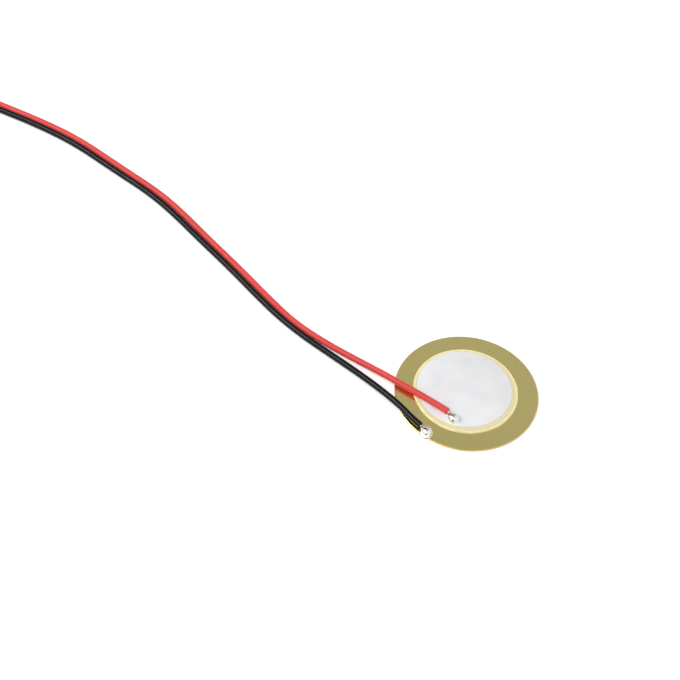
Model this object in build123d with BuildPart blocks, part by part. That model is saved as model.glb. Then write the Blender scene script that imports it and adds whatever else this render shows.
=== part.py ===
"""Piezo disc: a brass plate with a silvered ceramic disc bonded to it and two soldered leads.

Millimetres. The origin is the centre of the plate's back face, and +Z points to the ceramic side.
The ground joint lies on the -Y axis, and both leads run off towards -X over the table.
"""

import math
import os

from build123d import *

# Brass plate, a punched blank with its upper edge broken
plate_diameter = 27.0
plate_thickness = 0.30
plate_chamfer = 0.06

# Layers on the plate, from the bond film up. The ceramic leaves a ring of bare brass, and the silver on top
# a ring of bare ceramic
bond_thickness = 0.02
electrode_thickness = 0.02
ceramic_thickness = 0.18
ceramic_chamfer = 0.05
brass_ring_width = 3.70
ceramic_ring_width = 0.92

# The ceramic is bonded a little off the plate's centre, and the silver is printed a little off the ceramic's
ceramic_x = -0.33
ceramic_y = 0.16
electrode_shift_x = -0.40
electrode_shift_y = 0.13

# Stranded leads: the conductor is bare in its bead and past the far end of the insulation, where its tip is tinned
insulation_diameter = 1.20
conductor_diameter = 0.38
conductor_clearance = 0.02
strip_length = 4.0
untinned_length = 0.4
tin_thickness = 0.03
rest_gap = 0.05
table_gap = 0.02

# Solder beads: a sloping wetted foot under a round dome that covers the conductor. The signal bead stands just
# inside the silver's edge, and the ground bead bulges a little past the plate's rim
bead_diameter = 2.50
bead_cover = 0.40
foot_height = 0.14
foot_slope_width = 0.14
bead_to_insulation = 0.35
signal_bead_margin = 0.05
signal_bead_angle = 290.2
ground_bead_overhang = 0.30

# A lead starts at this point, counted from its bead's centre. Then it runs over the rim and along the table:
# x, y, and its height as a share, 1 as high as on the disc and 0 on the table
signal_start = (0, 0.40)
signal_run = [
    (-9.5, -7.20, 1),
    (-33.0, -9.40, 0),
    (-72.5, -0.50, 0),
    (-98.0, -0.55, 0),
    (-122.0, -6.30, 0),
    (-146.3, -9.40, 0),
]
ground_start = (0, 0)
ground_run = [
    (-11.0, -10.35, 1),
    (-33.5, -10.75, 0),
    (-72.5, -1.95, 0),
    (-98.5, -2.00, 0),
    (-123.5, -7.85, 0),
    (-148.2, -11.40, 0),
]
# Each bend takes this share of the shorter run beside it
bend_share = 0.45

# Heights of the layers, and of a lead's centre line where it lies on the silver, the plate and the table
bond_z = plate_thickness
lower_electrode_z = bond_z + bond_thickness
ceramic_z = lower_electrode_z + electrode_thickness
upper_electrode_z = ceramic_z + ceramic_thickness
stack_z = upper_electrode_z + electrode_thickness
lead_height = rest_gap + insulation_diameter / 2
on_electrode = stack_z + lead_height
on_plate = plate_thickness + lead_height
on_table = table_gap + insulation_diameter / 2

# Sizes and centres that follow from those above
ceramic_diameter = plate_diameter - 2 * brass_ring_width
electrode_diameter = ceramic_diameter - 2 * ceramic_ring_width
electrode_x = ceramic_x + electrode_shift_x
electrode_y = ceramic_y + electrode_shift_y
tinned_diameter = conductor_diameter + 2 * tin_thickness
tinned_length = strip_length - untinned_length
bead_height = lead_height + conductor_diameter / 2 + bead_cover
bare_length = bead_diameter / 2 + bead_to_insulation
ground_bead_y = -(plate_diameter / 2 - bead_diameter / 2 + ground_bead_overhang)
signal_bead_reach = electrode_diameter / 2 - bead_diameter / 2 - signal_bead_margin
signal_bead_x = electrode_x + signal_bead_reach * math.cos(math.radians(signal_bead_angle))
signal_bead_y = electrode_y + signal_bead_reach * math.sin(math.radians(signal_bead_angle))


def lead_route(bead, start, lying_z, run_points):
    """The corners of a lead's centre line, from inside its bead to its far tip."""
    drop = lying_z - on_table
    corners = [Vector(bead.X + start[0], bead.Y + start[1], lying_z)]
    corners += [Vector(x, y, on_table + drop * height_share) for x, y, height_share in run_points]
    return corners


def bend_radii(corners):
    """One radius for each inner corner, as large as its two runs allow."""
    radii = []
    for before, corner, after in zip(corners, corners[1:], corners[2:]):
        shorter = min((corner - before).length, (after - corner).length)
        half_turn = math.radians((corner - before).get_angle(after - corner)) / 2
        radii.append(bend_share * shorter / math.tan(half_turn))
    return radii


def insulated_stretch(corners):
    """The same corners, but ending where the insulation ends."""
    start = corners[0] + (corners[1] - corners[0]).normalized() * bare_length
    end = corners[-1] + (corners[-2] - corners[-1]).normalized() * strip_length
    return [start, *corners[1:-1], end]


os.makedirs("parts", exist_ok=True)

# Brass plate
with BuildPart() as brass_plate:
    Cylinder(plate_diameter / 2, plate_thickness, align=(Align.CENTER, Align.CENTER, Align.MIN))
    chamfer(brass_plate.faces().sort_by(Axis.Z)[-1].edges(), plate_chamfer)
brass_plate.part.label = "brass_plate"
export_step(brass_plate.part, "parts/brass_plate.step")

# Cured adhesive under the whole ceramic
with BuildPart() as bond_film:
    with BuildSketch(Plane.XY.offset(bond_z)):
        with Locations((ceramic_x, ceramic_y)):
            Circle(ceramic_diameter / 2)
    extrude(amount=bond_thickness)
bond_film.part.label = "bond_film"
export_step(bond_film.part, "parts/bond_film.step")

# Silver fired on the ceramic's whole underside
with BuildPart() as lower_electrode:
    with BuildSketch(Plane.XY.offset(lower_electrode_z)):
        with Locations((ceramic_x, ceramic_y)):
            Circle(ceramic_diameter / 2)
    extrude(amount=electrode_thickness)
lower_electrode.part.label = "lower_electrode"
export_step(lower_electrode.part, "parts/lower_electrode.step")

# Piezo ceramic, its upper edge broken by tumbling
with BuildPart() as ceramic_disc:
    with BuildSketch(Plane.XY.offset(ceramic_z)):
        with Locations((ceramic_x, ceramic_y)):
            Circle(ceramic_diameter / 2)
    extrude(amount=ceramic_thickness)
    chamfer(ceramic_disc.faces().sort_by(Axis.Z)[-1].edges(), ceramic_chamfer)
ceramic_disc.part.label = "ceramic_disc"
export_step(ceramic_disc.part, "parts/ceramic_disc.step")

# Silver printed on the ceramic's face, short of its edge
with BuildPart() as upper_electrode:
    with BuildSketch(Plane.XY.offset(upper_electrode_z)):
        with Locations((electrode_x, electrode_y)):
            Circle(electrode_diameter / 2)
    extrude(amount=electrode_thickness)
upper_electrode.part.label = "upper_electrode"
export_step(upper_electrode.part, "parts/upper_electrode.step")

# The two leads: the foot of the bead that holds each one, and the lead's corners
signal_bead = Vector(signal_bead_x, signal_bead_y, stack_z)
ground_bead = Vector(0, ground_bead_y, plate_thickness)
signal_route = lead_route(signal_bead, signal_start, on_electrode, signal_run)
ground_route = lead_route(ground_bead, ground_start, on_plate, ground_run)

for name, bead, route in (("signal", signal_bead, signal_route), ("ground", ground_bead, ground_route)):
    radii = bend_radii(route)
    print(name, "lead bends, mm:", *(round(radius, 1) for radius in radii))

    # Conductor, from inside the bead to the tinned tip
    with BuildPart() as conductor:
        with BuildLine() as conductor_line:
            FilletPolyline(*route, radius=radii)
        with BuildSketch(Plane(route[0], z_dir=route[1] - route[0])):
            Circle(conductor_diameter / 2)
        sweep(path=conductor_line.wire())
        with BuildSketch(Plane(route[-1], z_dir=route[-2] - route[-1])):
            Circle(tinned_diameter / 2)
        extrude(amount=tinned_length)
    conductor.part.label = f"{name}_conductor"
    export_step(conductor.part, f"parts/{name}_conductor.step")
    print(name, "lead length, mm:", round(conductor_line.wire().length, 1))

    # Insulation, a tube round the conductor between its bare ends
    stretch = insulated_stretch(route)
    with BuildPart() as insulation:
        with BuildLine() as insulation_line:
            FilletPolyline(*stretch, radius=radii)
        with BuildSketch(Plane(stretch[0], z_dir=stretch[1] - stretch[0])):
            Circle(insulation_diameter / 2)
            Circle(conductor_diameter / 2 + conductor_clearance, mode=Mode.SUBTRACT)
        sweep(path=insulation_line.wire())
    insulation.part.label = f"{name}_insulation"
    export_step(insulation.part, f"parts/{name}_insulation.step")

    # Solder bead, set round the conductor's end: its dome is part of a sphere
    foot_radius = bead_diameter / 2
    dome_radius = foot_radius - foot_slope_width
    dome_rise = bead_height - foot_height
    sphere_radius = (dome_radius**2 + dome_rise**2) / (2 * dome_rise)
    with BuildPart() as solder:
        with BuildSketch(Plane(bead, x_dir=(1, 0, 0), z_dir=(0, -1, 0))):
            with BuildLine():
                Polyline((0, bead_height), (0, 0), (foot_radius, 0), (dome_radius, foot_height))
                RadiusArc((0, bead_height), (dome_radius, foot_height), sphere_radius)
            make_face()
        revolve(axis=Axis(bead, (0, 0, 1)))
        add(conductor.part, mode=Mode.SUBTRACT)
    solder.part.label = f"{name}_solder"
    export_step(solder.part, f"parts/{name}_solder.step")
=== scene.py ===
import bisect
import math

import bmesh
import bpy
from mathutils import Matrix, Vector, noise


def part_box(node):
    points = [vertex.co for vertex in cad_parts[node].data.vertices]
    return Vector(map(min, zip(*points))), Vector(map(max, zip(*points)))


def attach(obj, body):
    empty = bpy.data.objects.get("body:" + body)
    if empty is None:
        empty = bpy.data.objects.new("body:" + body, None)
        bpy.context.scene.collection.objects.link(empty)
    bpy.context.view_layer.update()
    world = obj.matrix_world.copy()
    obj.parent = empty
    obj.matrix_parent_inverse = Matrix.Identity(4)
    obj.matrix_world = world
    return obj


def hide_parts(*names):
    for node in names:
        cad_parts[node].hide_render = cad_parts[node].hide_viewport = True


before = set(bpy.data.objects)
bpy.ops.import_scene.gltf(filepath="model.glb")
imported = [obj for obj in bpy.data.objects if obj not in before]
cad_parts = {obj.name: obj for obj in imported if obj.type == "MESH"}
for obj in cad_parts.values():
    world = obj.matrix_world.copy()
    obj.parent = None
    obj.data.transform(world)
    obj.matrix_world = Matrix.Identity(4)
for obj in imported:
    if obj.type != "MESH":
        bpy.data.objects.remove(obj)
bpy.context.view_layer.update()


# Ceramic disc
# A thin round of piezo ceramic, pressed, sintered and lapped flat. It is unglazed and cream coloured,
# and tumbling has rounded its upper edge.
mm = 0.001
ceramic_low, ceramic_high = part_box("ceramic_disc")
ceramic_centre = (ceramic_low + ceramic_high) / 2
ceramic_radius = (ceramic_high.x - ceramic_low.x) / 2
ceramic_edge = 0.05 * mm
ceramic_edge_centre = ceramic_radius - ceramic_edge, ceramic_high.z - ceramic_edge
ceramic_tones = (0.66, 0.59, 0.36), (0.74, 0.68, 0.43)


def quarter_round(radius, height, size, steps=6):
    """Profile points of a quarter circle round a centre at that radius and height, from side to top."""
    turns = [math.radians(90 * step / steps) for step in range(steps + 1)]
    return [(radius + size * math.cos(turn), height + size * math.sin(turn)) for turn in turns]


def shell_mesh(name, shell):
    """A finished shell as a plain mesh, with its faces pointing outwards."""
    bmesh.ops.recalc_face_normals(shell, faces=shell.faces)
    mesh = bpy.data.meshes.new(name)
    shell.to_mesh(mesh)
    shell.free()
    return mesh


def turned_mesh(name, profile, centre, shape=None, segments=256):
    """A solid turned about an upright line through centre, from its profile's radii and heights.
    shape may change the radius and height of each point by the angle at which it stands."""
    shell = bmesh.new()
    rings = []
    for radius, height in profile:
        ring = []
        for segment in range(segments if radius > 0 else 1):
            angle = math.tau * segment / segments
            out, up = shape(radius, height, angle) if shape else (radius, height)
            spot = centre.x + out * math.cos(angle), centre.y + out * math.sin(angle), up
            ring.append(shell.verts.new(spot))
        rings.append(ring)
    for one, other in zip(rings, rings[1:]):
        for segment in range(segments):
            after = (segment + 1) % segments
            corners = [ring[place % len(ring)] for ring, place in
                       ((one, segment), (one, after), (other, after), (other, segment))]
            shell.faces.new(list(dict.fromkeys(corners)))
    return shell_mesh(name, shell)


def add_node(tree, kind, inputs=None, **settings):
    """A new node with its settings and inputs; an input takes a value or another node's output."""
    node = tree.nodes.new(kind)
    for name, value in settings.items():
        setattr(node, name, value)
    for name, value in (inputs or {}).items():
        if isinstance(value, bpy.types.NodeSocket):
            tree.links.new(value, node.inputs[name])
        else:
            node.inputs[name].default_value = value
    return node


def new_finish(name, **constants):
    """A material and its tree and shader; the constants are the shader's plain sockets."""
    material = bpy.data.materials.new(name)
    material.use_nodes = True
    shader = material.node_tree.nodes["Principled BSDF"]
    for socket, value in constants.items():
        shader.inputs[socket.replace("_", " ")].default_value = value
    return material, material.node_tree, shader


def grain(tree, cells, detail, source="Object"):
    """Noise from 0 to 1 with that many cells to the metre, or to the UV map's unit, along each axis."""
    coordinates = add_node(tree, "ShaderNodeTexCoord").outputs[source]
    place = add_node(tree, "ShaderNodeMapping", {"Vector": coordinates, "Scale": cells})
    settings = {"Vector": place.outputs["Vector"], "Scale": 1.0, "Detail": detail}
    return add_node(tree, "ShaderNodeTexNoise", settings).outputs["Fac"]


def between(tree, amount, low, high, start=0.3, end=0.7):
    """A value from low to high as amount goes from start to end."""
    limits = {"Value": amount, "From Min": start, "From Max": end, "To Min": low, "To Max": high}
    return add_node(tree, "ShaderNodeMapRange", limits).outputs["Result"]


def tint(tree, amount, one, other, start=0.3, end=0.7):
    """A colour from one to the other as amount goes from start to end."""
    ramp = add_node(tree, "ShaderNodeValToRGB", {"Fac": amount})
    for element, place, colour in zip(ramp.color_ramp.elements, (start, end), (one, other)):
        element.position = place
        element.color = (*colour, 1)
    return ramp.outputs["Color"]


def roughen(tree, shader, height, strength, depth):
    """Fine relief in a finish, from a height of 0 to 1 and the depth that it stands for."""
    bump = add_node(tree, "ShaderNodeBump", {"Height": height, "Strength": strength, "Distance": depth})
    tree.links.new(bump.outputs["Normal"], shader.inputs["Normal"])


def place_piece(mesh, material, slot, *nodes, sharp_degrees=35):
    """A finished mesh as a piece of the part, in place of its solids."""
    mesh.materials.clear()
    mesh.materials.append(material)
    mesh.shade_smooth()
    mesh.set_sharp_from_angle(angle=math.radians(sharp_degrees))
    piece = bpy.data.objects.new(mesh.name, mesh)
    bpy.context.collection.objects.link(piece)
    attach(piece, "root")
    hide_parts(*nodes)
    return piece


ceramic_profile = [
    (0, ceramic_low.z),
    (ceramic_radius, ceramic_low.z),
    *quarter_round(*ceramic_edge_centre, ceramic_edge),
    (0, ceramic_high.z),
]
ceramic_mesh = turned_mesh("sintered_ceramic", ceramic_profile, ceramic_centre)
ceramic_finish, tree, shader = new_finish("unglazed ceramic", Roughness=0.5, Specular_IOR_Level=0.4)
ceramic_grain = grain(tree, cells=(3500, 3500, 3500), detail=4)
tree.links.new(tint(tree, ceramic_grain, *ceramic_tones), shader.inputs["Base Color"])
roughen(tree, shader, ceramic_grain, strength=0.3, depth=0.01 * mm)
place_piece(ceramic_mesh, ceramic_finish, "ceramic", "ceramic_disc")


# Silver electrodes
# Silver paste screen printed on both faces of the ceramic and fired into a matt, grainy layer. The lower
# one covers the whole face, and the upper one stops short of the edge, with the slight wobble of a print.
silver_low, silver_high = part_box("upper_electrode")
silver_centre = (silver_low + silver_high) / 2
silver_radius = (silver_high.x - silver_low.x) / 2
silver_edge = 0.012 * mm
silver_tones = (0.78, 0.78, 0.80), (0.84, 0.84, 0.85)
outline_from = 0.9 * silver_radius
print_wobble = 0.025 * mm
# The wobble is read from noise round a circle of this radius: a larger one gives more waves
print_circle = 9


def printed_outline(radius, height, angle):
    """The outline of a screen print, in and out by a few hundredths of a millimetre."""
    if radius <= outline_from:
        return radius, height
    spot = Vector((print_circle * math.cos(angle), print_circle * math.sin(angle), 0))
    return radius + print_wobble * noise.noise(spot), height


silver_profile = [
    (0, silver_low.z),
    (silver_radius, silver_low.z),
    *quarter_round(silver_radius - silver_edge, silver_high.z - silver_edge, silver_edge, steps=3),
    (0, silver_high.z),
]
silver_mesh = turned_mesh("printed_silver", silver_profile, silver_centre, printed_outline, segments=384)
silver_finish, tree, shader = new_finish("fired silver", Metallic=0.28, Specular_IOR_Level=0.4)
silver_clouds = grain(tree, cells=(260, 260, 260), detail=5)
silver_grain = grain(tree, cells=(7000, 7000, 7000), detail=2)
tree.links.new(tint(tree, silver_clouds, *silver_tones), shader.inputs["Base Color"])
tree.links.new(between(tree, silver_clouds, low=0.58, high=0.70), shader.inputs["Roughness"])
roughen(tree, shader, silver_grain, strength=0.35, depth=0.01 * mm)
place_piece(silver_mesh, silver_finish, "silver", "upper_electrode")
lower_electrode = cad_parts["lower_electrode"]
lower_electrode.data.materials.clear()
lower_electrode.data.materials.append(silver_finish)


# Brass plate
# A round punched from rolled brass sheet. The punch has rolled its upper edge over and left a burnished
# wall with a slightly torn lower edge, and the rolling marks run across both faces.
plate_low, plate_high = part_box("brass_plate")
plate_centre = (plate_low + plate_high) / 2
plate_radius = (plate_high.x - plate_low.x) / 2
plate_roll = 0.12 * mm
plate_tear = 0.03 * mm
brass_tones = (0.87, 0.76, 0.295), (0.92, 0.775, 0.305)
# The wall and rolled edge are painted a deeper, more orange gold than the faces: a painted reflection of
# brass below the rim, deeper than the metal's own tone
painted_reflection_wall_tone = (0.74, 0.50, 0.17)

plate_profile = [
    (0, plate_low.z),
    (plate_radius - plate_tear, plate_low.z),
    (plate_radius, plate_low.z + 2 * plate_tear),
    *quarter_round(plate_radius - plate_roll, plate_high.z - plate_roll, plate_roll, steps=8),
    (0, plate_high.z),
]
plate_mesh = turned_mesh("punched_brass", plate_profile, plate_centre)
brass_finish, tree, shader = new_finish("rolled brass", Metallic=1.0)
rolling_marks = grain(tree, cells=(180, 6000, 180), detail=4)
brass_clouds = grain(tree, cells=(300, 420, 300), detail=4)
facing = add_node(tree, "ShaderNodeTexCoord").outputs["Normal"]
upright = add_node(tree, "ShaderNodeSeparateXYZ", {"Vector": facing}).outputs["Z"]
flatness = add_node(tree, "ShaderNodeMath", {0: upright}, operation="ABSOLUTE").outputs[0]
# The faces take the brass's own clouded tones, and the wall takes the painted reflection tone
brass_colour = add_node(tree, "ShaderNodeMix", {
    "Factor": between(tree, flatness, low=0.0, high=1.0, start=0.55, end=0.95),
    "A": (*painted_reflection_wall_tone, 1),
    "B": tint(tree, brass_clouds, *brass_tones),
}, data_type="RGBA")
tree.links.new(brass_colour.outputs["Result"], shader.inputs["Base Color"])
tree.links.new(between(tree, rolling_marks, low=0.16, high=0.26), shader.inputs["Roughness"])
roughen(tree, shader, rolling_marks, strength=0.12, depth=0.004 * mm)
place_piece(plate_mesh, brass_finish, "brass", "brass_plate")


# Bonding resin
# The film that glues the ceramic to the plate. What is pressed out wets the ceramic's side and creeps a
# little way over its edge, where it has set as a smooth pale yellow line.
film_low, film_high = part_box("bond_film")
resin_foot = 0.08 * mm
resin_reach = ceramic_radius + resin_foot
resin_climb = ceramic_high.z - ceramic_edge - film_low.z
resin_skin = 0.008 * mm
resin_creep = 0.36 * mm
resin_thins_from = 0.6 * resin_creep
resin_tones = (0.80, 0.70, 0.35), (0.90, 0.81, 0.45)
meniscus_shares = 0.3, 0.5, 0.7, 0.85, 0.95
meniscus_power = 3
resin_wobble = 0.05 * mm
# The wobble is read from noise round a circle of this radius, with finer waves added to the broad ones
resin_circle = 3
wave_fade, wave_ratio, wave_count = 0.9, 2.0, 4


def crept_resin(radius, height, angle):
    """The uneven edges of the resin: its foot on the brass and its front on the ceramic."""
    on_top = height > ceramic_high.z
    spot = Vector((resin_circle * math.cos(angle), resin_circle * math.sin(angle), on_top))
    wander = resin_wobble * noise.fractal(spot, wave_fade, wave_ratio, wave_count)
    if radius > ceramic_radius + 0.5 * resin_foot:
        return radius + wander, height
    if radius < ceramic_radius - 0.5 * resin_creep and radius > 0:
        return radius + 2 * wander, height
    return radius, height


resin_profile = [
    (0, film_low.z),
    (resin_reach, film_low.z),
    *((resin_reach - resin_foot * share, film_low.z + resin_climb * share**meniscus_power)
      for share in meniscus_shares),
    *quarter_round(*ceramic_edge_centre, ceramic_edge + resin_skin),
    (ceramic_radius - resin_thins_from, ceramic_high.z + resin_skin),
    (ceramic_radius - resin_creep, ceramic_high.z),
    *reversed(quarter_round(*ceramic_edge_centre, ceramic_edge)),
    (ceramic_radius, film_high.z),
    (0, film_high.z),
]
resin_mesh = turned_mesh("bonding_resin", resin_profile, ceramic_centre, crept_resin, segments=384)
resin_finish, tree, shader = new_finish("set resin", Roughness=0.12, IOR=1.52)
resin_clouds = grain(tree, cells=(900, 900, 900), detail=3)
tree.links.new(tint(tree, resin_clouds, *resin_tones), shader.inputs["Base Color"])
place_piece(resin_mesh, resin_finish, "adhesive", "bond_film")


# Stranded conductors
# Six tinned copper strands laid round a seventh in each lead. They are bare where they go into the
# solder and for a few millimetres at the far end, whose tip is dipped in tin.
outer_strands = 6
conductor_radius = 0.19 * mm
strand_radius = conductor_radius / 3
strand_step = 0.3 * mm
strand_tones = (0.66, 0.60, 0.52), (0.80, 0.79, 0.76)
lay_length = 5.0 * mm
lay_depth = 0.07
tin_radius = 0.22 * mm
tin_length = 3.6 * mm
# Distances from the tin's start and shares of its radius, and then the same counted back from the tip
tin_shoulder = (0, 0), (0, 0.86), (0.15 * mm, 0.95)
tin_nose = (0.08 * mm, 0.86), (0, 0.5), (0, 0)
# Where the stretch of full radius between them starts, and how long it is, as shares of the tin's length
tin_full_from, tin_full_over = 0.1, 0.84
tin_steps = 30

# The points that control each lead's line, in millimetres, from inside its bead to its far tip
signal_start = Vector((1.89, -6.43, 1.19))
signal_route = [
    signal_start,
    (-3.0, -6.62, 1.19),
    (-8.5, -7.05, 1.19),
    (-14.0, -7.45, 1.10),
    (-21.0, -8.15, 0.84),
    (-28.0, -8.65, 0.66),
    (-34.5, -8.60, 0.62),
    (-41.5, -7.30, 0.62),
    (-50.0, -5.35, 0.62),
    (-60.0, -3.40, 0.62),
    (-68.5, -1.55, 0.62),
    (-75.0, -0.70, 0.62),
    (-84.0, -0.75, 0.62),
    (-95.5, -0.60, 0.62),
    (-104.0, -1.90, 0.62),
    (-113.5, -4.10, 0.62),
    (-123.0, -6.40, 0.62),
    (-134.5, -8.00, 0.62),
    (-146.3, -9.40, 0.62),
]
ground_start = Vector((0, -12.55, 0.95))
ground_route = [
    ground_start,
    (-3.2, -12.18, 0.95),
    (-7.0, -11.25, 0.95),
    (-11.5, -10.65, 0.91),
    (-17.0, -10.25, 0.76),
    (-24.0, -10.10, 0.64),
    (-31.0, -10.05, 0.62),
    (-37.5, -9.45, 0.62),
    (-44.0, -8.15, 0.62),
    (-52.0, -6.30, 0.62),
    (-61.0, -4.60, 0.62),
    (-69.0, -2.90, 0.62),
    (-76.0, -1.98, 0.62),
    (-85.0, -2.05, 0.62),
    (-95.5, -1.92, 0.62),
    (-104.5, -3.25, 0.62),
    (-113.5, -5.40, 0.62),
    (-123.5, -7.80, 0.62),
    (-135.5, -9.70, 0.62),
    (-148.2, -11.40, 0.62),
]


def route_line(name, route):
    """The smooth line of a lead as a mesh of points, from the NURBS spline that its route controls."""
    curve = bpy.data.curves.new(name, "CURVE")
    curve.dimensions = "3D"
    spline = curve.splines.new("NURBS")
    spline.points.add(len(route) - 1)
    for point, place in zip(spline.points, route):
        point.co = (*(Vector(place) * mm), 1)
    spline.order_u = 3
    spline.use_endpoint_u = True
    spline.resolution_u = 24
    holder = bpy.data.objects.new(name, curve)
    bpy.context.collection.objects.link(holder)
    bpy.context.view_layer.update()
    line = bpy.data.meshes.new_from_object(holder)
    line.name = name
    bpy.data.objects.remove(holder)
    bpy.data.curves.remove(curve)
    return line


def strand_tree():
    """Strands twisted round a core along a line of points."""
    tree = bpy.data.node_groups.new("twisted strands", "GeometryNodeTree")
    sockets = {}
    for name, kind in (("Line", "Geometry"), ("Outer strands", "Int"), ("Strand radius", "Float"),
                       ("Lay length", "Float"), ("Step", "Float"), ("Finish", "Material")):
        sockets[name] = tree.interface.new_socket(name, in_out="INPUT", socket_type=f"NodeSocket{kind}")
    tree.interface.new_socket("Strands", in_out="OUTPUT", socket_type="NodeSocketGeometry")
    given = add_node(tree, "NodeGroupInput").outputs

    def number(operation, one, other):
        return add_node(tree, "ShaderNodeMath", {0: one, 1: other}, operation=operation).outputs[0]

    def vector(operation, inputs):
        return add_node(tree, "ShaderNodeVectorMath", inputs, operation=operation).outputs[0]

    # The core follows the line, and a copy of it for each outer strand is pushed out round it
    line = add_node(tree, "GeometryNodeMeshToCurve", {"Mesh": given["Line"]}).outputs["Curve"]
    spacing = {"Curve": line, "Length": given["Step"]}
    core = add_node(tree, "GeometryNodeResampleCurve", spacing, mode="LENGTH").outputs["Curve"]
    repeat = {"Geometry": core, "Amount": given["Outer strands"]}
    copies = add_node(tree, "GeometryNodeDuplicateElements", repeat, domain="SPLINE").outputs
    run = add_node(tree, "GeometryNodeSplineParameter").outputs["Length"]
    turns = number("DIVIDE", run, given["Lay length"])
    share = number("DIVIDE", copies["Duplicate Index"], given["Outer strands"])
    angle = number("MULTIPLY", number("ADD", turns, share), math.tau)
    reach = number("MULTIPLY", given["Strand radius"], 2.0)
    normal = add_node(tree, "GeometryNodeInputNormal").outputs["Normal"]
    tangent = add_node(tree, "GeometryNodeInputTangent").outputs["Tangent"]
    side = vector("CROSS_PRODUCT", {0: tangent, 1: normal})
    normal_reach = number("MULTIPLY", reach, number("COSINE", angle, 0.0))
    side_reach = number("MULTIPLY", reach, number("SINE", angle, 0.0))
    along_normal = vector("SCALE", {"Vector": normal, "Scale": normal_reach})
    along_side = vector("SCALE", {"Vector": side, "Scale": side_reach})
    offset = vector("ADD", {0: along_normal, 1: along_side})
    push = {"Geometry": copies["Geometry"], "Offset": offset}
    twisted = add_node(tree, "GeometryNodeSetPosition", push).outputs["Geometry"]

    # Each one becomes a round wire
    circle = {"Resolution": 8, "Radius": given["Strand radius"]}
    section = add_node(tree, "GeometryNodeCurvePrimitiveCircle", circle).outputs["Curve"]
    together = add_node(tree, "GeometryNodeJoinGeometry")
    for curve in (core, twisted):
        parts = {"Curve": curve, "Profile Curve": section, "Fill Caps": True}
        strand = add_node(tree, "GeometryNodeCurveToMesh", parts)
        tree.links.new(strand.outputs["Mesh"], together.inputs["Geometry"])
    real = add_node(tree, "GeometryNodeRealizeInstances", {"Geometry": together.outputs["Geometry"]})
    faced = add_node(tree, "GeometryNodeSetMaterial",
                     {"Geometry": real.outputs["Geometry"], "Material": given["Finish"]})
    add_node(tree, "NodeGroupOutput", {"Strands": faced.outputs["Geometry"]})
    return tree, sockets


twisted_strands, strand_sockets = strand_tree()


def strand_mesh(name, line, finish):
    """The strands of one lead as a plain mesh."""
    holder = bpy.data.objects.new(name, line)
    bpy.context.collection.objects.link(holder)
    modifier = holder.modifiers.new("strands", "NODES")
    modifier.node_group = twisted_strands
    sizes = {"Outer strands": outer_strands, "Strand radius": strand_radius, "Lay length": lay_length,
             "Step": strand_step, "Finish": finish}
    for socket, value in sizes.items():
        modifier[strand_sockets[socket].identifier] = value
    graph = bpy.context.evaluated_depsgraph_get()
    mesh = bpy.data.meshes.new_from_object(holder.evaluated_get(graph))
    mesh.name = name
    holder.modifiers.clear()
    bpy.data.objects.remove(holder)
    return mesh


def line_walk(points):
    """A function that gives the place, side and up directions at a distance along a line of points,
    and the line's length."""
    reached = [0.0]
    for before, after in zip(points, points[1:]):
        reached.append(reached[-1] + (after - before).length)

    def at(distance):
        leg = min(max(bisect.bisect_right(reached, distance), 1), len(points) - 1)
        before, after = points[leg - 1], points[leg]
        share = (distance - reached[leg - 1]) / (reached[leg] - reached[leg - 1])
        ahead = (points[min(leg + 1, len(points) - 1)] - points[max(leg - 2, 0)]).normalized()
        side = ahead.cross(Vector((0, 0, 1))).normalized()
        return before.lerp(after, share), side, side.cross(ahead)

    return at, reached[-1]


def swept_mesh(name, at, stations, shape=None, segments=32, closed=False):
    """Rings round a line, from distances along it and radii. A radius of 0 closes an end, and closed
    joins the last ring to the first. The UV map holds turns round the line and metres along it."""
    shell = bmesh.new()
    uv = shell.loops.layers.uv.new("along")
    rings = []
    for distance, radius in stations:
        place, side, up = at(distance)
        ring = []
        for segment in range(segments if radius > 0 else 1):
            angle = math.tau * segment / segments
            out = shape(distance, radius, angle) if shape else radius
            spot = place + side * (out * math.cos(angle)) + up * (out * math.sin(angle))
            ring.append(shell.verts.new(spot))
        rings.append((distance, ring))
    pairs = list(zip(rings, rings[1:])) + ([(rings[-1], rings[0])] if closed else [])
    for (start, one), (end, other) in pairs:
        for segment in range(segments):
            corners = {}
            for ring, place, distance in ((one, segment, start), (one, segment + 1, start),
                                          (other, segment + 1, end), (other, segment, end)):
                corners.setdefault(ring[place % len(ring)], (place / segments, distance))
            face = shell.faces.new(list(corners))
            for loop, spot in zip(face.loops, corners.values()):
                loop[uv].uv = spot
    return shell_mesh(name, shell)


def tin_stations(length):
    """Distances and radii of a lead's tinned tip, from its shoulder on the strands to its round nose."""
    start = length - tin_length
    stations = [(start + run, tin_radius * share) for run, share in tin_shoulder]
    for step in range(tin_steps + 1):
        run = tin_length * (tin_full_from + tin_full_over * step / tin_steps)
        stations.append((start + run, tin_radius))
    stations += [(length - back, tin_radius * share) for back, share in tin_nose]
    return stations


def dipped_strands(distance, radius, angle):
    """Tin that still shows the lay of the outer strands under it."""
    groove = (1 - math.cos(outer_strands * (angle - math.tau * distance / lay_length))) / 2
    return radius * (1 - lay_depth * groove)


strand_finish, tree, shader = new_finish("tinned copper", Metallic=1.0)
strand_grain = grain(tree, cells=(4000, 4000, 4000), detail=3)
tree.links.new(tint(tree, strand_grain, *strand_tones), shader.inputs["Base Color"])
tree.links.new(between(tree, strand_grain, low=0.2, high=0.36), shader.inputs["Roughness"])

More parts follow.
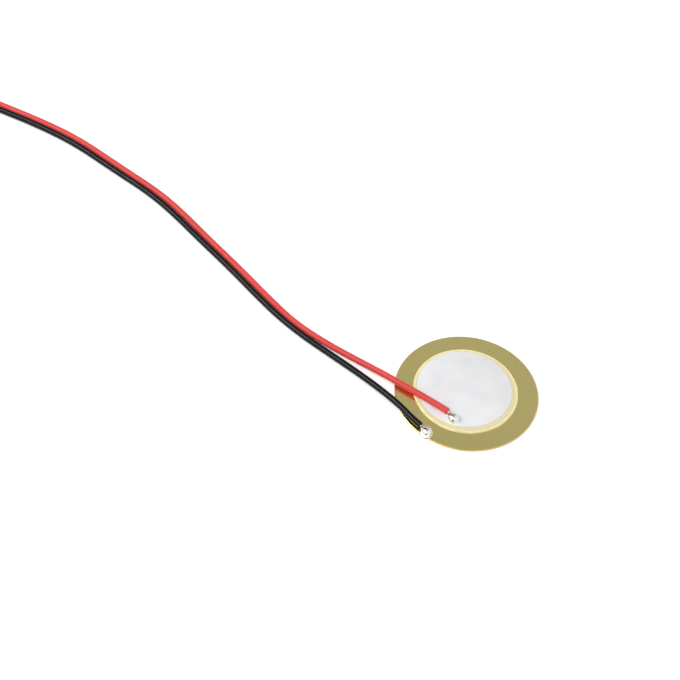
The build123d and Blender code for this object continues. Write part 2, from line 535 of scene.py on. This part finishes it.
lead_lines = {}
for lead, route in (("signal", signal_route), ("ground", ground_route)):
    line = route_line(f"{lead}_line", route)
    at, length = line_walk([vertex.co.copy() for vertex in line.vertices])
    lead_lines[lead] = at, length
    strands = strand_mesh(f"{lead}_strands", line, strand_finish)
    tip = swept_mesh(f"{lead}_tinned_tip", at, tin_stations(length), dipped_strands, segments=48)
    place_piece(strands, strand_finish, "tinned_copper", f"{lead}_conductor", sharp_degrees=60)
    place_piece(tip, strand_finish, "tinned_copper", f"{lead}_conductor", sharp_degrees=60)


# Insulation
# Soft PVC extruded over the strands, red on the signal lead and black on the ground lead. It was cut and
# pulled off at both ends, and the heat of soldering has rounded its lip beside each bead.
jacket_radius = 0.60 * mm
jacket_bore = 0.21 * mm
jacket_step = 0.5 * mm
bare_length = 1.60 * mm
strip_length = 4.0 * mm
lip = 0.09 * mm
lip_steps = 6
lip_swell = 0.025 * mm
swell_run = 0.6 * mm
cut_edge = 0.02 * mm
path_steps = 200
signal_tones = (0.62, 0.057, 0.053), (0.70, 0.077, 0.072)
ground_tones = (0.003, 0.003, 0.004), (0.007, 0.007, 0.008)
signal_roughness = 0.31, 0.45
ground_roughness = 0.15, 0.29


def jacket_stations(length):
    """Distances and radii round the wall of a jacket: its soldered end, outside, cut end and bore."""
    start, end = bare_length, length - strip_length
    outside = [(start, jacket_bore), (start, jacket_radius - lip)]
    for step in range(1, lip_steps + 1):
        turn = math.pi / 2 * step / lip_steps
        radius = jacket_radius - lip * (1 - math.sin(turn)) + lip_swell
        outside.append((start + lip * (1 - math.cos(turn)), radius))
    count = round((end - start) / jacket_step)
    for step in range(1, count):
        run = (end - start) * step / count
        outside.append((start + run, jacket_radius + lip_swell * math.exp(-run / swell_run)))
    outside += [(end - cut_edge, jacket_radius), (end, jacket_radius - cut_edge), (end, jacket_bore)]
    inside = [(start + (end - start) * step / count, jacket_bore) for step in range(count - 1, 0, -2)]
    return outside + inside


for lead, slot, tones, roughness in (
    ("signal", "red_pvc", signal_tones, signal_roughness),
    ("ground", "black_pvc", ground_tones, ground_roughness),
):
    at, length = lead_lines[lead]
    jacket_mesh = swept_mesh(f"{lead}_jacket", at, jacket_stations(length), closed=True)
    jacket_finish, tree, shader = new_finish(f"{lead} PVC", IOR=1.53, Specular_IOR_Level=0.18)
    streaks = grain(tree, cells=(7, 90, 1), detail=4, source="UV")
    scuffs = grain(tree, cells=(5, 700, 1), detail=5, source="UV")
    tree.links.new(tint(tree, streaks, *tones), shader.inputs["Base Color"])
    tree.links.new(between(tree, scuffs, *roughness), shader.inputs["Roughness"])
    roughen(tree, shader, scuffs, strength=0.12, depth=0.01 * mm)
    jacket = place_piece(jacket_mesh, jacket_finish, slot, f"{lead}_insulation")
    covered = length - strip_length - bare_length
    path = [at(bare_length + covered * step / path_steps)[0] for step in range(path_steps + 1)]


# Solder beads
# Bright solder that has drawn itself into a bead over the end of each conductor, spread a thin foot on
# the silver or the brass, and crept a little way out along the strands.
bead_foot = 0.14 * mm
bead_flare = 0.09 * mm
flare_power = 2.2
flare_shares = 0.12, 0.3, 0.5, 0.7, 0.85
underside_shares = 0, 0.5, 0.7, 0.8, 0.9, 1
dome_rings = 40
two_lobes, three_lobes = 0.03, 0.018
wick_reach = 0.40 * mm
wick_height = 0.28 * mm
wick_angle = 0.32
rim_sag = 0.5
solder_tones = (0.86, 0.86, 0.85), (0.94, 0.94, 0.92)


def bead_shape(centre, lean, exit_angle, exit_height, dome_radius):
    """How a bead departs from a round one: its shallow lobes, the nose along its strands, and its sag
    past the plate's rim."""
    def shape(radius, height, angle):
        low = 1 - height / (2 * dome_radius)
        lobes = two_lobes * math.cos(2 * angle + lean) + three_lobes * math.cos(3 * angle - 2 * lean)
        away = (angle - exit_angle + math.pi) % math.tau - math.pi
        nose = wick_reach * math.exp(-(away / wick_angle) ** 2 - ((height - exit_height) / wick_height) ** 2)
        out = radius * (1 + lobes * low) + nose
        from_axis = math.hypot(centre.x + out * math.cos(angle), centre.y + out * math.sin(angle))
        past_rim = max(0, from_axis - (plate_radius - plate_roll))
        return out, height - rim_sag * past_rim * low
    return shape


solder_finish, tree, shader = new_finish("bright solder", Metallic=1.0)
solder_grain = grain(tree, cells=(2500, 2500, 2500), detail=3)
solder_clouds = grain(tree, cells=(700, 700, 700), detail=2)
tree.links.new(tint(tree, solder_clouds, *solder_tones), shader.inputs["Base Color"])
tree.links.new(between(tree, solder_grain, low=0.05, high=0.14), shader.inputs["Roughness"])
roughen(tree, shader, solder_clouds, strength=0.10, depth=0.05 * mm)

for lead, start, lean, exit_degrees in (
    ("signal", signal_start, 0.6, 152),
    ("ground", ground_start, 2.1, 178),
):
    bead_low, bead_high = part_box(f"{lead}_solder")
    bead_centre = (bead_low + bead_high) / 2
    bead_radius = (bead_high.x - bead_low.x) / 2
    dome_radius = bead_radius - bead_flare
    dome_height = bead_high.z - bead_low.z - bead_foot
    bead_profile = [(bead_radius * share, 0) for share in underside_shares]
    for share in flare_shares:
        bead_profile.append((dome_radius + bead_flare * (1 - share) ** flare_power, bead_foot * share))
    for ring in range(dome_rings):
        turn = math.pi / 2 * ring / dome_rings
        bead_profile.append((dome_radius * math.cos(turn), bead_foot + dome_height * math.sin(turn)))
    bead_profile.append((0, bead_foot + dome_height))
    shape = bead_shape(bead_centre, lean, math.radians(exit_degrees), start.z * mm - bead_low.z, dome_radius)
    bead_mesh = turned_mesh(f"{lead}_bead", bead_profile, bead_centre, shape, segments=128)
    bead_mesh.transform(Matrix.Translation((0, 0, bead_low.z)))
    place_piece(bead_mesh, solder_finish, "solder", f"{lead}_solder", sharp_degrees=60)


# Floor
# A plain white table top that the plate and the leads lie on. It is shown lighter the further it lies
# from the disc, so that it ends in white.
floor_size = 3.0
floor_drop = 0.01 * mm
near_reach, far_reach = 0.18, 0.80
near_lift, far_lift = 0.14, 1.00
half = floor_size / 2
floor_corners = [(x, y, -floor_drop) for x, y in ((-half, -half), (half, -half), (half, half), (-half, half))]
floor_mesh = bpy.data.meshes.new("table_top")
floor_mesh.from_pydata(floor_corners, [], [(0, 1, 2, 3)])
floor_finish, tree, shader = new_finish("white table", Roughness=0.9, Specular_IOR_Level=0.2)
shader.inputs["Base Color"].default_value = (0.92, 0.92, 0.92, 1)
shader.inputs["Emission Color"].default_value = (1, 1, 1, 1)
ray = add_node(tree, "ShaderNodeLightPath").outputs
seen = ray["Is Camera Ray"]
for other_ray in ("Is Glossy Ray", "Is Transmission Ray"):
    seen = add_node(tree, "ShaderNodeMath", {0: seen, 1: ray[other_ray]}, operation="MAXIMUM").outputs[0]
spot = add_node(tree, "ShaderNodeTexCoord").outputs["Object"]
reach = add_node(tree, "ShaderNodeVectorMath", {0: spot}, operation="LENGTH").outputs["Value"]
lift = between(tree, reach, near_lift, far_lift, near_reach, far_reach)
lifted = add_node(tree, "ShaderNodeMath", {0: seen, 1: lift}, operation="MULTIPLY").outputs[0]
tree.links.new(lifted, shader.inputs["Emission Strength"])
floor_mesh.materials.append(floor_finish)
floor = bpy.data.objects.new("table_top", floor_mesh)
bpy.context.collection.objects.link(floor)


# Light
# A pale studio of screens, with a soft lamp in front and a stronger one to the left. The screens opposite
# the camera and overhead are shaded, one to the right is brighter, and two dark gaps show in the solder.
studio_level = 0.78
lit_spot = Vector((-0.03, 0, 0))
# Each screen's direction, the degrees from it where its fade starts and ends, and its share of the level
studio_screens = [
    ((-0.337, 0.539, 0.772), 20, 42, 0.59),
    ((0.550, -0.150, 0.820), 25, 55, 1.25),
    ((-0.720, 0.100, 0.690), 19.5, 26, 0.06),
    ((0.440, -0.880, 0.170), 19, 25, 0.08),
    ((0, 0, 1), 12, 34, 0.52),
]
world = bpy.data.worlds.new("studio")
bpy.context.scene.world = world
world.use_nodes = True
tree = world.node_tree
view_direction = add_node(tree, "ShaderNodeTexCoord").outputs["Generated"]
level = studio_level
for towards, inner_degrees, outer_degrees, share in studio_screens:
    facing = add_node(tree, "ShaderNodeVectorMath", {0: view_direction, 1: Vector(towards).normalized()},
                      operation="DOT_PRODUCT").outputs["Value"]
    limits = {"Value": facing, "From Min": math.cos(math.radians(outer_degrees)),
              "From Max": math.cos(math.radians(inner_degrees)), "To Min": 1.0, "To Max": share}
    kept = add_node(tree, "ShaderNodeMapRange", limits, interpolation_type="SMOOTHSTEP").outputs["Result"]
    level = add_node(tree, "ShaderNodeMath", {0: level, 1: kept}, operation="MULTIPLY").outputs[0]
camera_ray = add_node(tree, "ShaderNodeLightPath").outputs["Is Camera Ray"]
shown = add_node(tree, "ShaderNodeMath", {0: camera_ray, 1: level}, operation="MAXIMUM").outputs[0]
tree.links.new(shown, tree.nodes["Background"].inputs["Strength"])
tree.nodes["Background"].inputs["Color"].default_value = (1, 1, 1, 1)

for name, place, wide, deep, watts in (
    ("soft_lamp", (0.00, -0.44, 0.61), 0.36, 0.36, 1.25),
    ("key_lamp", (-0.36, -0.26, 0.51), 0.30, 0.27, 2.15),
):
    lamp_data = bpy.data.lights.new(name, "AREA")
    lamp_data.shape = "RECTANGLE"
    lamp_data.size, lamp_data.size_y = wide, deep
    lamp_data.energy = watts
    lamp = bpy.data.objects.new(name, lamp_data)
    lamp.location = place
    lamp.rotation_euler = (lit_spot - lamp.location).to_track_quat("-Z", "Y").to_euler()
    bpy.context.collection.objects.link(lamp)


# Camera
# It stands in front, to the right of and above the disc, held a little out of level.
focal_pixels = 2700
frame_pixels = 680
view_target = Vector((-25.53, -5.72, 0)) * mm
view_distance = 508.9 * mm
view_azimuth, view_elevation, view_roll = (math.radians(degrees) for degrees in (32.0, 50.54, 7.78))
camera_data = bpy.data.cameras.new("camera")
camera_data.sensor_width = 36
camera_data.lens = camera_data.sensor_width * focal_pixels / frame_pixels
camera_data.clip_start = 0.01
camera = bpy.data.objects.new("camera", camera_data)
turn = (Matrix.Rotation(view_azimuth, 4, "Z") @ Matrix.Rotation(math.pi / 2 - view_elevation, 4, "X")
        @ Matrix.Rotation(view_roll, 4, "Z"))
camera.matrix_world = Matrix.Translation(view_target + turn.to_3x3() @ Vector((0, 0, view_distance))) @ turn
bpy.context.collection.objects.link(camera)
bpy.context.scene.camera = camera
bpy.context.scene.view_settings.view_transform = "Standard"
